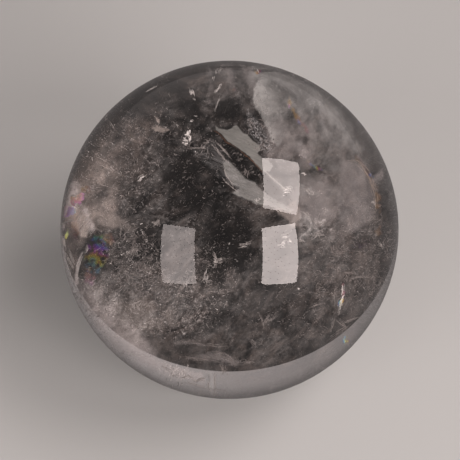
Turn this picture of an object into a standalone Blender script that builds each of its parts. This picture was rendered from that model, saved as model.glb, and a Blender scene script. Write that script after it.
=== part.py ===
"""A polished quartz sphere, ground with one small flat spot so that it stands without rolling.

Units are metres. +Z is up, and the origin is the centre of the flat spot, where the sphere rests.
"""

import math

import bmesh
import bpy
from mathutils import Vector

# Driving dimensions
DIAMETER = 0.070
FLAT_DIAMETER = 0.0088

# Facets round the sphere, from the flat spot up to the widest ring, and from there to the top
SEGMENTS = 88
LOWER_RINGS = 20
UPPER_RINGS = 22

# The first and last turned outline meet within this distance
WELD_DISTANCE = 1e-7

# The rim of the flat spot turns by about 7 degrees and stays crisp; the facets turn by 4 to 5
CRISP_ANGLE = math.radians(6)

RADIUS = DIAMETER / 2
FLAT_RADIUS = FLAT_DIAMETER / 2
CENTRE_HEIGHT = math.sqrt(RADIUS**2 - FLAT_RADIUS**2)

# Rock crystal: colourless, and as glossy as glass once it is polished
QUARTZ_COLOUR = (0.93, 0.92, 0.92, 1.0)
QUARTZ_ROUGHNESS = 0.02
QUARTZ_IOR = 1.544


def clear_scene():
    """Removes what a new file holds."""
    for obj in list(bpy.data.objects):
        bpy.data.objects.remove(obj, do_unlink=True)


def polished_quartz():
    """The clear, colourless finish of the whole stone."""
    material = bpy.data.materials.new("polished_quartz")
    material.use_nodes = True
    shader = material.node_tree.nodes["Principled BSDF"]
    shader.inputs["Base Color"].default_value = QUARTZ_COLOUR
    shader.inputs["Metallic"].default_value = 0.0
    shader.inputs["Roughness"].default_value = QUARTZ_ROUGHNESS
    shader.inputs["IOR"].default_value = QUARTZ_IOR
    shader.inputs["Transmission Weight"].default_value = 1.0
    return material


def half_outline():
    """Points from the rim of the flat spot up round the sphere to its top, in the XZ plane."""
    rim = math.asin(FLAT_RADIUS / RADIUS)
    widest = math.pi / 2
    angles = [rim + (widest - rim) * ring / LOWER_RINGS for ring in range(LOWER_RINGS)]
    angles += [widest + widest * ring / UPPER_RINGS for ring in range(UPPER_RINGS)]
    points = [
        Vector((RADIUS * math.sin(angle), 0.0, CENTRE_HEIGHT - RADIUS * math.cos(angle)))
        for angle in angles
    ]
    points[0].z = 0.0
    points.append(Vector((0.0, 0.0, CENTRE_HEIGHT + RADIUS)))
    return points


def turned_sphere():
    """Spins the half outline round +Z and closes the flat spot with one face."""
    shape = bmesh.new()
    outline = [shape.verts.new(point) for point in half_outline()]
    edges = [shape.edges.new(pair) for pair in zip(outline, outline[1:])]
    bmesh.ops.spin(
        shape,
        geom=outline + edges,
        cent=(0.0, 0.0, 0.0),
        axis=(0.0, 0.0, 1.0),
        angle=2 * math.pi,
        steps=SEGMENTS,
        use_merge=True,
    )
    bmesh.ops.remove_doubles(shape, verts=shape.verts, dist=WELD_DISTANCE)
    rim = [edge for edge in shape.edges if edge.is_boundary]
    bmesh.ops.contextual_create(shape, geom=rim)
    bmesh.ops.recalc_face_normals(shape, faces=shape.faces)
    mesh = bpy.data.meshes.new("quartz_sphere")
    shape.to_mesh(mesh)
    shape.free()
    mesh.shade_smooth()
    mesh.set_sharp_from_angle(angle=CRISP_ANGLE)
    return mesh


def build():
    """Makes the one solid of the stone, which stands on the origin."""
    clear_scene()
    stone = bpy.data.objects.new("quartz_sphere", turned_sphere())
    stone.data.materials.append(polished_quartz())
    bpy.context.collection.objects.link(stone)


build()
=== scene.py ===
"""The looks of a polished rock crystal sphere with milky veils, healed cracks and rainbow flashes inside.

The clear body is one fine round mesh that refracts as quartz does. All that shows inside it is real
geometry at a real depth: thin veils, crack planes, rainbow films and thousands of small threads. A few of
the rainbow sheets carry painted dispersion: the spectrum that the stone splits from the lamps' light, laid on
as film colour. Each is placed by the ray that the camera sends through a pixel of the photograph, bent at the
surface by Snell's law, and by the share of its way through the stone at which the thing lies.
"""

import logging
import math
from dataclasses import dataclass
from enum import Enum

import bmesh
import bpy
import numpy as np
from mathutils import Matrix, Vector, noise

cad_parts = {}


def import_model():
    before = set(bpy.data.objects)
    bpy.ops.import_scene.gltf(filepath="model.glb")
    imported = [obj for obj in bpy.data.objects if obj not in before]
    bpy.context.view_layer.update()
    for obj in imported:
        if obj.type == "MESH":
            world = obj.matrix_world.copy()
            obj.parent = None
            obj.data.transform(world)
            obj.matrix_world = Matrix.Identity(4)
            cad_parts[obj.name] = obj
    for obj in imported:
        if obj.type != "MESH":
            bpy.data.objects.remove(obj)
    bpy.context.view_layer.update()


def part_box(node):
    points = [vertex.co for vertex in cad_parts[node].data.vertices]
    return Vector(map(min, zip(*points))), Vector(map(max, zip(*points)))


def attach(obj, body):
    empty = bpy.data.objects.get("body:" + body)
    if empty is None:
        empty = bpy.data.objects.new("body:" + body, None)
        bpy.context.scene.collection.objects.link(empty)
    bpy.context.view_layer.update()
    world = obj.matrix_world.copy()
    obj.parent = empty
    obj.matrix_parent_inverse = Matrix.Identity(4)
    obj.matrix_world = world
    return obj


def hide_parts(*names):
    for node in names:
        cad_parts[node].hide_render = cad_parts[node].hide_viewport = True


LOG = logging.getLogger("quartz_sphere")

BODY = "root"
STONE_NODE = "quartz_sphere"

MM = 0.001
QUARTZ_IOR = 1.544
CAMERA_ELEVATION_DEG = 50.0

# What lies in the stone keeps off its surface: the first and last share of a ray's way through
SHEET_SHARES = (0.03, 0.97)
RIBBON_SHARES = (0.02, 0.98)

# How fast the finer layers of a cloud pattern fade, and how many times finer each is than the last
CLOUD_FADE = 0.8
CLOUD_FINER = 2.1

Triple = tuple[float, float, float]
Colour = tuple[float, float, float, float]
Box = tuple[float, float, float, float]
Point = tuple[float, float]


def linear(hex_colour: str) -> Colour:
    """Turns an sRGB hex colour into the linear values that a shader takes.

    Args:
        hex_colour: Six hex digits after a hash sign.

    Returns:
        Linear red, green and blue, and an alpha of one.
    """
    channels = [int(hex_colour[start : start + 2], 16) / 255 for start in (1, 3, 5)]
    light = [c / 12.92 if c <= 0.04045 else ((c + 0.055) / 1.055) ** 2.4 for c in channels]
    return (light[0], light[1], light[2], 1.0)


def add_node(
    tree: bpy.types.NodeTree, kind: str, inputs: dict | None = None, **settings: object
) -> bpy.types.Node:
    """Adds one node, with its settings, its values and the links into it.

    Args:
        tree: The node tree to add to.
        kind: The node's type name in Blender.
        inputs: For a socket's name or number, its value, or the output socket that feeds it.
        **settings: The node's own properties.

    Returns:
        The new node.
    """
    node = tree.nodes.new(kind)
    for name, value in settings.items():
        setattr(node, name, value)
    for name, value in (inputs or {}).items():
        socket = node.inputs[name]
        if isinstance(value, bpy.types.NodeSocket):
            tree.links.new(value, socket)
        else:
            socket.default_value = value
    return node


def new_material(name: str) -> tuple[bpy.types.Material, bpy.types.NodeTree]:
    """Makes a material whose node tree holds only its output.

    Args:
        name: The material's name.

    Returns:
        The material and its node tree.
    """
    material = bpy.data.materials.new(name)
    material.use_nodes = True
    tree = material.node_tree
    for node in list(tree.nodes):
        if node.type != "OUTPUT_MATERIAL":
            tree.nodes.remove(node)
    return material, tree


def surface_output(tree: bpy.types.NodeTree, shader: bpy.types.NodeSocket) -> None:
    """Joins a shader to the tree's output."""
    output = next(node for node in tree.nodes if node.type == "OUTPUT_MATERIAL")
    tree.links.new(shader, output.inputs["Surface"])


def mesh_from(shape: bmesh.types.BMesh, name: str) -> bpy.types.Mesh:
    """Turns a finished shape into a mesh, and frees the shape.

    Args:
        shape: The shape.
        name: The mesh's name.

    Returns:
        The mesh.
    """
    mesh = bpy.data.meshes.new(name)
    shape.to_mesh(mesh)
    shape.free()
    return mesh


def link_object(name: str, mesh: bpy.types.Mesh) -> bpy.types.Object:
    """Puts a mesh in the scene as an object at the origin.

    Args:
        name: The object's name.
        mesh: Its mesh, with its place in its vertices.

    Returns:
        The new object.
    """
    piece = bpy.data.objects.new(name, mesh)
    bpy.context.scene.collection.objects.link(piece)
    return piece


@dataclass(frozen=True)
class StoneForm:
    """The round body's real size and place."""

    radius: float
    centre: Vector

    @classmethod
    def from_frame(cls) -> "StoneForm":
        """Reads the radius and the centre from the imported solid's box.

        Returns:
            The stone's form.
        """
        lowest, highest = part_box(STONE_NODE)
        radius = (highest.x - lowest.x) / 2
        return cls(radius, Vector((0.0, 0.0, highest.z - radius)))


@dataclass(frozen=True)
class PhotoView:
    """The camera at the photograph's angle, and the bent rays that run through its pixels."""

    stone: StoneForm
    elevation_deg: float = CAMERA_ELEVATION_DEG
    lens_mm: float = 135.0
    sensor_mm: float = 36.0
    picture_side: float = 460.0
    # The middle and half the width of the stone's outline in the photograph, in pixels
    ball_x: float = 229.4
    ball_y: float = 229.8
    ball_half_width: float = 169.2
    # A pixel farther out than this share of the outline is moved in to it
    rim_limit: float = 0.992

    @property
    def focal_px(self) -> float:
        """The lens's length in pixels of the photograph."""
        return self.picture_side * self.lens_mm / self.sensor_mm

    @property
    def distance(self) -> float:
        """How far from the stone's centre the camera stands, for an outline as wide as the photograph's."""
        return self.stone.radius / math.sin(math.atan(self.ball_half_width / self.focal_px))

    def axes(self) -> tuple[Vector, Vector, Vector]:
        """Works out which way the camera faces.

        Returns:
            Its right, up and backward directions.
        """
        angle = math.radians(self.elevation_deg)
        back = Vector((0.0, -math.cos(angle), math.sin(angle)))
        right = Vector((1.0, 0.0, 0.0))
        return right, back.cross(right), back

    def add_camera(self) -> None:
        """Makes the scene's camera."""
        right, up, back = self.axes()
        data = bpy.data.cameras.new("photo_camera")
        data.lens = self.lens_mm
        data.sensor_width = self.sensor_mm
        data.shift_x = (self.picture_side / 2 - self.ball_x) / self.picture_side
        data.shift_y = (self.ball_y - self.picture_side / 2) / self.picture_side
        camera = bpy.data.objects.new("photo_camera", data)
        turn = Matrix((right, up, back)).transposed().to_4x4()
        camera.matrix_world = Matrix.Translation(self.stone.centre + back * self.distance) @ turn
        bpy.context.scene.collection.objects.link(camera)
        bpy.context.scene.camera = camera

    def bent_rays(self, px: np.ndarray, py: np.ndarray) -> tuple[np.ndarray, np.ndarray]:
        """Follows rays from the camera into the stone.

        Args:
            px: Pixels of the photograph, from the left.
            py: Pixels of the photograph, from the top.

        Returns:
            Where each ray enters the stone, from its centre, and its whole way through it as a vector.
        """
        right, up, back = (np.array(axis) for axis in self.axes())
        across = np.stack([px - self.ball_x, self.ball_y - py], axis=-1)
        reach = np.linalg.norm(across, axis=-1, keepdims=True)
        across = across * np.minimum(1.0, self.rim_limit * self.ball_half_width / np.maximum(reach, 1.0))
        ray = across[..., :1] * right + across[..., 1:] * up - back * self.focal_px
        ray /= np.linalg.norm(ray, axis=-1, keepdims=True)
        eye = back * self.distance
        along = ray @ eye
        way = -along - np.sqrt(along**2 - self.distance**2 + self.stone.radius**2)
        entry = eye + ray * way[..., None]
        outward = entry / self.stone.radius
        facing = -(ray * outward).sum(-1, keepdims=True)
        inward = np.sqrt(1 - (1 - facing**2) / QUARTZ_IOR**2)
        bent = ray / QUARTZ_IOR + (facing / QUARTZ_IOR - inward) * outward
        return entry, bent * 2 * self.stone.radius * inward

    def inside(self, px: np.ndarray, py: np.ndarray, share: np.ndarray) -> np.ndarray:
        """Finds what the camera sees at a pixel and at a depth in the stone.

        Args:
            px: Pixels of the photograph, from the left.
            py: Pixels of the photograph, from the top.
            share: How far along its way through the stone each ray has come, from 0 to 1.

        Returns:
            Points in the frame, in metres, one row each.
        """
        entry, way = self.bent_rays(px, py)
        return entry + way * share[..., None] + np.array(self.stone.centre)


@dataclass(frozen=True)
class Softbox:
    """One studio softbox, placed by the highlight that it leaves on the stone."""

    name: str
    # Where the lamp stands, seen from the stone, and where its long side points
    towards: Triple
    upright: Triple
    brightness: float
    width_deg: float
    height_deg: float
    distance: float = 1.1
    tint: Triple = (1.0, 0.88, 0.85)

    def add(self, centre: Vector) -> None:
        """Makes the lamp, which the stone mirrors but doesn't show through its body.

        Args:
            centre: The point that the lamp faces.
        """
        back = Vector(self.towards).normalized()
        up = Vector(self.upright)
        up = (up - back * up.dot(back)).normalized()
        data = bpy.data.lights.new(self.name, "AREA")
        data.shape = "RECTANGLE"
        data.size = 2 * self.distance * math.tan(math.radians(self.width_deg / 2))
        data.size_y = 2 * self.distance * math.tan(math.radians(self.height_deg / 2))
        data.energy = self.brightness * math.pi * data.size * data.size_y
        data.color = self.tint
        light = bpy.data.objects.new(self.name, data)
        turn = Matrix((up.cross(back), up, back)).transposed().to_4x4()
        light.matrix_world = Matrix.Translation(centre + back * self.distance) @ turn
        light.visible_transmission = False
        bpy.context.scene.collection.objects.link(light)


@dataclass(frozen=True)
class Studio:
    """The pale floor, the softboxes and the soft light of the room."""

    stone: StoneForm
    softboxes: tuple[Softbox, ...] = (
        Softbox(
            "softbox_left", (-0.551, -0.716, 0.433), (-0.05, 0.54, 0.84),
            brightness=3.7, width_deg=22.6, height_deg=35.9,
        ),
        Softbox(
            "softbox_right", (0.543, -0.716, 0.438), (0.038, 0.534, 0.845),
            brightness=8.6, width_deg=23.6, height_deg=36.6,
        ),
        Softbox(
            "softbox_upper", (0.541, -0.096, 0.836), (-0.07, 0.985, 0.158),
            brightness=6.9, width_deg=23.4, height_deg=33.4,
        ),
    )
    floor_side: float = 4.0
    floor_colour: str = "#c7cac9"
    floor_roughness: float = 0.9
    # The room from the floor upwards: the sine of the height above the horizon, and how bright it is there
    room_levels: tuple[tuple[float, float], ...] = (
        (0.0, 0.014), (0.004, 0.30), (0.21, 0.31), (0.33, 0.26), (0.50, 0.17), (0.70, 0.06), (0.90, 0.03),
    )
    # How far below the floor's level the wall still shows
    wall_foot: float = 0.115
    # How bright the wall is far to the left and far to the right of the stone, and how far out that is
    wall_sides: tuple[float, float] = (0.68, 1.30)
    wall_reach: float = 0.7
    room_tint: Triple = (1.0, 0.90, 0.88)
    # What the polished surface mirrors from below the horizon, in place of the pale floor
    mirrored_ground: Triple = (0.15, 0.135, 0.132)
    # As many veils as this can lie one behind the other
    veil_layers: int = 24

    def add(self) -> None:
        """Makes the floor, the lights and the room."""
        self.add_floor()
        for softbox in self.softboxes:
            softbox.add(self.stone.centre)
        self.add_room()
        scene = bpy.context.scene
        scene.view_settings.view_transform = "Standard"
        scene.cycles.caustics_refractive = False
        scene.cycles.caustics_reflective = False
        scene.cycles.transparent_max_bounces = self.veil_layers

    def add_floor(self) -> None:
        """Makes the plain pale floor, which the stone neither mirrors nor shows through its body."""
        shape = bmesh.new()
        bmesh.ops.create_grid(shape, x_segments=1, y_segments=1, size=self.floor_side / 2)
        mesh = mesh_from(shape, "studio_floor")
        floor = link_object("studio_floor", mesh)
        # Matte paper: an even pale ground with no gloss, which takes a soft shadow
        material, tree = new_material("matte_paper_floor")
        shader = add_node(
            tree, "ShaderNodeBsdfPrincipled",
            {"Base Color": linear(self.floor_colour), "Roughness": self.floor_roughness},
        )
        surface_output(tree, shader.outputs["BSDF"])
        mesh.materials.append(material)
        floor.visible_transmission = False
        floor.visible_glossy = False

    def add_room(self) -> None:
        """Makes the room: a pale wall round the horizon, dim above, and dark below the floor's level."""
        world = bpy.data.worlds.new("studio_room")
        world.use_nodes = True
        tree = world.node_tree
        towards = add_node(tree, "ShaderNodeTexCoord")
        parts = add_node(tree, "ShaderNodeSeparateXYZ", {0: towards.outputs["Generated"]})
        height = add_node(tree, "ShaderNodeMath", {0: parts.outputs["Z"], 1: self.wall_foot}, operation="ADD")
        ramp = add_node(tree, "ShaderNodeValToRGB", {0: height.outputs["Value"]})
        stops = ramp.color_ramp.elements
        while len(stops) < len(self.room_levels):
            stops.new(0.5)
        for stop, (place, level) in zip(stops, self.room_levels):
            stop.position = place
            stop.color = (*(level * tint for tint in self.room_tint), 1.0)
        below = add_node(tree, "ShaderNodeMath", {0: height.outputs["Value"], 1: 0.0}, operation="LESS_THAN")
        path = add_node(tree, "ShaderNodeLightPath")
        mirrored = add_node(
            tree, "ShaderNodeMath", {0: below.outputs["Value"], 1: path.outputs["Is Transmission Ray"]},
            operation="SUBTRACT", use_clamp=True,
        )
        ground = (*self.mirrored_ground, 1.0)
        room = add_node(
            tree, "ShaderNodeMix",
            {"Factor": mirrored.outputs["Value"], "A": ramp.outputs["Color"], "B": ground},
            data_type="RGBA",
        )
        left, right = self.wall_sides
        across = add_node(
            tree, "ShaderNodeMapRange",
            {
                "Value": parts.outputs["X"],
                "From Min": -self.wall_reach, "From Max": self.wall_reach,
                "To Min": left, "To Max": right,
            },
        )
        background = tree.nodes["Background"]
        tree.links.new(room.outputs["Result"], background.inputs["Color"])
        tree.links.new(across.outputs["Result"], background.inputs["Strength"])
        bpy.context.scene.world = world


@dataclass(frozen=True)
class PolishedQuartz:
    """Rock crystal, cut round and polished: colourless, clear and as glossy as glass."""

    name: str = "polished_rock_crystal"
    tint: str = "#fefdfd"
    roughness: float = 0.0
    shade_on_floor: float = 0.16

    def material(self) -> bpy.types.Material:
        """Makes the clear finish, whose own shadow on the floor is soft and grey.

        Returns:
            The material. Lamps reach what is inside the stone straight through its far side.
        """
        material, tree = new_material(self.name)
        quartz = add_node(
            tree, "ShaderNodeBsdfPrincipled",
            {
                "Base Color": linear(self.tint), "Roughness": self.roughness,
                "IOR": QUARTZ_IOR, "Transmission Weight": 1.0,
            },
        )
        shade = (self.shade_on_floor,) * 3 + (1.0,)
        dim = add_node(tree, "ShaderNodeBsdfTransparent", {"Color": shade})
        free = add_node(tree, "ShaderNodeBsdfTransparent", {"Color": (1.0, 1.0, 1.0, 1.0)})
        side = add_node(tree, "ShaderNodeNewGeometry")
        passing = add_node(
            tree, "ShaderNodeMixShader",
            {0: side.outputs["Backfacing"], 1: dim.outputs["BSDF"], 2: free.outputs["BSDF"]},
        )
        path = add_node(tree, "ShaderNodeLightPath")
        whole = add_node(
            tree, "ShaderNodeMixShader",
            {0: path.outputs["Is Shadow Ray"], 1: quartz.outputs["BSDF"], 2: passing.outputs["Shader"]},
        )
        surface_output(tree, whole.outputs["Shader"])
        return material


@dataclass(frozen=True)
class ClearBody:
    """The clear round body with its small flat spot."""

    stone: StoneForm
    finish: PolishedQuartz = PolishedQuartz()
    rounds: int = 7
    crisp_deg: float = 5.0

    def build(self) -> bpy.types.Object:
        """Makes the sphere, and cuts it flat where it rests.

        Returns:
            The finished piece.
        """
        shape = bmesh.new()
        middle = Matrix.Translation(self.stone.centre)
        bmesh.ops.create_icosphere(shape, subdivisions=self.rounds, radius=self.stone.radius, matrix=middle)
        cut = bmesh.ops.bisect_plane(
            shape,
            geom=list(shape.verts) + list(shape.edges) + list(shape.faces),
            plane_co=(0.0, 0.0, 0.0),
            plane_no=(0.0, 0.0, -1.0),
            clear_outer=True,
        )
        rim = [part for part in cut["geom_cut"] if isinstance(part, bmesh.types.BMEdge)]
        bmesh.ops.contextual_create(shape, geom=rim)
        bmesh.ops.recalc_face_normals(shape, faces=shape.faces)
        mesh = mesh_from(shape, "clear_body")
        mesh.shade_smooth()
        mesh.set_sharp_from_angle(angle=math.radians(self.crisp_deg))
        mesh.materials.append(self.finish.material())
        piece = link_object("clear_body", mesh)
        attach(piece, BODY)
        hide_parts(STONE_NODE)
        return piece


def cloud_noise(px: np.ndarray, py: np.ndarray, size_px: float, seed: float, octaves: int = 5) -> np.ndarray:
    """Gives each pixel a cloudy value that is the same on every run.

    Args:
        px: Pixels from the left.
        py: Pixels from the top.
        size_px: The width of one cloud.
        seed: Picks one pattern of clouds.
        octaves: How many finer layers are added.

    Returns:
        Values about 0, mostly between -1 and 1.
    """
    spots = zip((px / size_px).tolist(), (py / size_px).tolist())
    return np.array([noise.fractal((x, y, seed), CLOUD_FADE, CLOUD_FINER, octaves) for x, y in spots])


def smooth_step(low: float, high: float, value: np.ndarray) -> np.ndarray:
    """Rises smoothly from 0 at low to 1 at high."""
    t = np.clip((value - low) / (high - low), 0.0, 1.0)
    return t * t * (3 - 2 * t)


def share_of_way(px: np.ndarray, py: np.ndarray, start: Point, end: Point) -> np.ndarray:
    """Tells how far along a straight line pixels lie: 0 beside its start and 1 beside its end."""
    (ax, ay), (bx, by) = start, end
    return ((px - ax) * (bx - ax) + (py - ay) * (by - ay)) / ((bx - ax) ** 2 + (by - ay) ** 2)


@dataclass(frozen=True)
class Blot:
    """A soft oval of the photograph, in its pixels."""

    x: float
    y: float
    half_width: float
    half_height: float
    turn_deg: float = 0.0
    amount: float = 1.0
    soft: float = 0.6

    def bounds(self) -> Box:
        """The oval's left, top, right and bottom, whichever way it is turned."""
        reach = max(self.half_width, self.half_height)
        return self.x - reach, self.y - reach, self.x + reach, self.y + reach

    def depth(self, px: np.ndarray, py: np.ndarray) -> np.ndarray:
        """Tells how far inside the oval's edge pixels are.

        Args:
            px: Pixels from the left.
            py: Pixels from the top.

        Returns:
            Below 0 outside, 0 at the edge, and 1 where the oval is full.
        """
        turn = math.radians(self.turn_deg)
        across, down = px - self.x, py - self.y
        u = (across * math.cos(turn) + down * math.sin(turn)) / self.half_width
        v = (down * math.cos(turn) - across * math.sin(turn)) / self.half_height
        return (1 - np.hypot(u, v)) / self.soft

    def strength(self, px: np.ndarray, py: np.ndarray) -> np.ndarray:
        """How thick a full veil is at pixels: the same all over the oval."""
        return np.full(len(px), self.amount)


@dataclass(frozen=True)
class Outline:
    """A patch of the photograph inside a line of points, in its pixels, which can fade across itself."""

    points: tuple[Point, ...]
    amount: float = 1.0
    soft_px: float = 2.0
    fade_from: Point | None = None
    fade_to: Point | None = None

    def bounds(self) -> Box:
        """The patch's left, top, right and bottom."""
        xs, ys = zip(*self.points)
        return min(xs), min(ys), max(xs), max(ys)

    def depth(self, px: np.ndarray, py: np.ndarray) -> np.ndarray:
        """Tells how far inside the outline pixels are.

        Args:
            px: Pixels from the left.
            py: Pixels from the top.

        Returns:
            Below 0 outside, 0 at the outline, and 1 where the patch is full.
        """
        inside = np.zeros(len(px), bool)
        nearest = np.full(len(px), np.inf)
        for (ax, ay), (bx, by) in zip(self.points, self.points[1:] + self.points[:1]):
            along = np.clip(share_of_way(px, py, (ax, ay), (bx, by)), 0.0, 1.0)
            gap = np.hypot(px - ax - along * (bx - ax), py - ay - along * (by - ay))
            nearest = np.minimum(nearest, gap)
            if ay != by:
                inside ^= ((ay > py) != (by > py)) & (px < (bx - ax) * (py - ay) / (by - ay) + ax)
        return np.where(inside, nearest, -nearest) / self.soft_px

    def strength(self, px: np.ndarray, py: np.ndarray) -> np.ndarray:
        """Tells how thick a full veil is at pixels.

        Args:
            px: Pixels from the left.
            py: Pixels from the top.

        Returns:
            The patch's amount, less towards the point that it fades to.
        """
        full = np.full(len(px), self.amount)
        if self.fade_from is None or self.fade_to is None:
            return full
        return full * (1 - smooth_step(0.0, 1.0, share_of_way(px, py, self.fade_from, self.fade_to)))


Region = Blot | Outline


@dataclass(frozen=True)
class ClearZones:
    """The parts of the stone that the photograph shows free of veils."""

    zones: tuple[Region, ...]
    torn: float = 0.9
    torn_px: float = 14.0
    seed: float = 71.0

    def left_over(self, px: np.ndarray, py: np.ndarray) -> np.ndarray:
        """Tells how much of a veil is left at pixels.

        Args:
            px: Pixels from the left.
            py: Pixels from the top.

        Returns:
            1 outside every clear zone, and less inside.
        """
        share = np.ones(len(px))
        tears = self.torn * cloud_noise(px, py, self.torn_px, self.seed, octaves=3)
        for zone in self.zones:
            share *= 1 - zone.strength(px, py) * smooth_step(0.0, 1.0, zone.depth(px, py) + tears)
        return share


class Weave(Enum):
    """How a veil's bubbles lie: in soft clouds or in thin strands."""

    CLOUDS = "FBM"
    STRANDS = "RIDGED_MULTIFRACTAL"


@dataclass(frozen=True)
class MilkyVeil:
    """A sheet of tiny trapped bubbles, which looks like thin milk or smoke in the stone."""

    name: str
    colour: str
    # How much of what lies behind it a full veil hides
    cover: float
    cloud_mm: float
    grain_mm: float
    # The cloud pattern's values where the veil starts and where it is full
    clouds_between: tuple[float, float]
    # How much thinner or thicker the veil is between its grains and on them
    grain_covers: tuple[float, float]
    stretch: float = 1.0
    stretch_deg: float = 0.0
    swirl: float = 0.7
    weave: Weave = Weave.CLOUDS
    roughness: float = 0.7
    cloud_detail: float = 8.0
    cloud_roughness: float = 0.62
    grain_detail: float = 3.0
    grain_roughness: float = 0.7
    # The grain pattern's values between the grains and on them
    grains_between: tuple[float, float] = (0.3, 0.75)

    def material(self) -> bpy.types.Material:
        """Makes the milky finish, whose cover follows clouds, finer grain and the sheet's own fading edge.

        Returns:
            The material. Its clouds are stretched square to the camera's direction.
        """
        material, tree = new_material(self.name)
        place = add_node(tree, "ShaderNodeTexCoord")
        tip = Matrix.Rotation(math.radians(90 - CAMERA_ELEVATION_DEG), 3, "X")
        turn = tip @ Matrix.Rotation(math.radians(self.stretch_deg), 3, "Z")
        turned = add_node(
            tree, "ShaderNodeMapping",
            {
                "Vector": place.outputs["Object"], "Rotation": turn.to_euler(),
                "Scale": (self.stretch, 1.0, 1.0),
            },
            vector_type="TEXTURE",
        )
        clouds = add_node(
            tree, "ShaderNodeTexNoise",
            {
                "Vector": turned.outputs["Vector"], "Scale": 1 / (self.cloud_mm * MM),
                "Detail": self.cloud_detail, "Roughness": self.cloud_roughness, "Distortion": self.swirl,
            },
            noise_type=self.weave.value,
        )
        grain = add_node(
            tree, "ShaderNodeTexNoise",
            {
                "Vector": turned.outputs["Vector"], "Scale": 1 / (self.grain_mm * MM),
                "Detail": self.grain_detail, "Roughness": self.grain_roughness,
            },
        )
        start, full = self.clouds_between
        mottled = add_node(
            tree, "ShaderNodeMapRange",
            {
                "Value": clouds.outputs["Fac"], "From Min": start, "From Max": full,
                "To Min": 0.0, "To Max": self.cover,
            },
            interpolation_type="SMOOTHSTEP",
        )
        gap, bubble = self.grains_between
        thin, thick = self.grain_covers
        speckled = add_node(
            tree, "ShaderNodeMapRange",
            {
                "Value": grain.outputs["Fac"], "From Min": gap, "From Max": bubble,
                "To Min": thin, "To Max": thick,
            },
        )
        edge = add_node(tree, "ShaderNodeAttribute", attribute_name="haze")
        faded = add_node(
            tree, "ShaderNodeMath", {0: mottled.outputs["Result"], 1: edge.outputs["Fac"]},
            operation="MULTIPLY",
        )
        cover = add_node(
            tree, "ShaderNodeMath", {0: faded.outputs["Value"], 1: speckled.outputs["Result"]},
            operation="MULTIPLY", use_clamp=True,
        )
        shader = add_node(
            tree, "ShaderNodeBsdfPrincipled",
            {
                "Base Color": linear(self.colour), "Roughness": self.roughness,
                "Alpha": cover.outputs["Value"],
            },
        )
        surface_output(tree, shader.outputs["BSDF"])
        return material


@dataclass(frozen=True)
class RainbowFilm:
    """A crack so thin that light waves cancel in it, which leaves the colours of a soap film. On some sheets
    the same colours are painted dispersion: the spectrum that the stone splits from the lamps' light.
    """

    name: str
    thinnest_nm: float
    thickest_nm: float
    cover: float
    strength: float = 0.8
    patch_mm: float = 1.5
    patchy: float = 0.3
    # How much white light the film scatters beside its colours
    milky: float = 0.03
    roughness: float = 0.4
    patch_detail: float = 3.0
    patch_roughness: float = 0.55
    # The waves that stand for red, green and blue light
    waves_nm: Triple = (615.0, 545.0, 455.0)
    stops: int = 24

    def film_colour(self, thickness_nm: float) -> Colour:
        """Works out what an air film sends back.

        Args:
            thickness_nm: How thick the film is.

        Returns:
            Linear red, green and blue, and an alpha of one.
        """
        light = (math.sin(2 * math.pi * thickness_nm / wave) ** 2 for wave in self.waves_nm)
        red, green, blue = (self.milky + self.strength * part for part in light)
        return (red, green, blue, 1.0)

    def material(self) -> bpy.types.Material:
        """Makes the film's finish, whose colour follows its thickness from place to place.

        Returns:
            The material.
        """
        material, tree = new_material(self.name)
        place = add_node(tree, "ShaderNodeTexCoord")
        patches = add_node(
            tree, "ShaderNodeTexNoise",
            {
                "Vector": place.outputs["Object"], "Scale": 1 / (self.patch_mm * MM),
                "Detail": self.patch_detail, "Roughness": self.patch_roughness,
            },
        )
        shifted = add_node(
            tree, "ShaderNodeMapRange",
            {"Value": patches.outputs["Fac"], "To Min": -self.patchy, "To Max": self.patchy},
        )
        wedge = add_node(tree, "ShaderNodeAttribute", attribute_name="film")
        thickness = add_node(
            tree, "ShaderNodeMath", {0: wedge.outputs["Fac"], 1: shifted.outputs["Result"]},
            operation="ADD", use_clamp=True,
        )
        ramp = add_node(tree, "ShaderNodeValToRGB", {0: thickness.outputs["Value"]})
        colours = ramp.color_ramp.elements
        while len(colours) < self.stops:
            colours.new(0.5)
        reach = self.thickest_nm - self.thinnest_nm
        for number, stop in enumerate(colours):
            stop.position = number / (self.stops - 1)
            stop.color = self.film_colour(self.thinnest_nm + reach * stop.position)
        edge = add_node(tree, "ShaderNodeAttribute", attribute_name="haze")
        cover = add_node(
            tree, "ShaderNodeMath", {0: edge.outputs["Fac"], 1: self.cover},
            operation="MULTIPLY", use_clamp=True,
        )
        shader = add_node(
            tree, "ShaderNodeBsdfPrincipled",
            {
                "Base Color": ramp.outputs["Color"], "Roughness": self.roughness,
                "Alpha": cover.outputs["Value"],
            },
        )
        surface_output(tree, shader.outputs["BSDF"])
        return material


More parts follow.
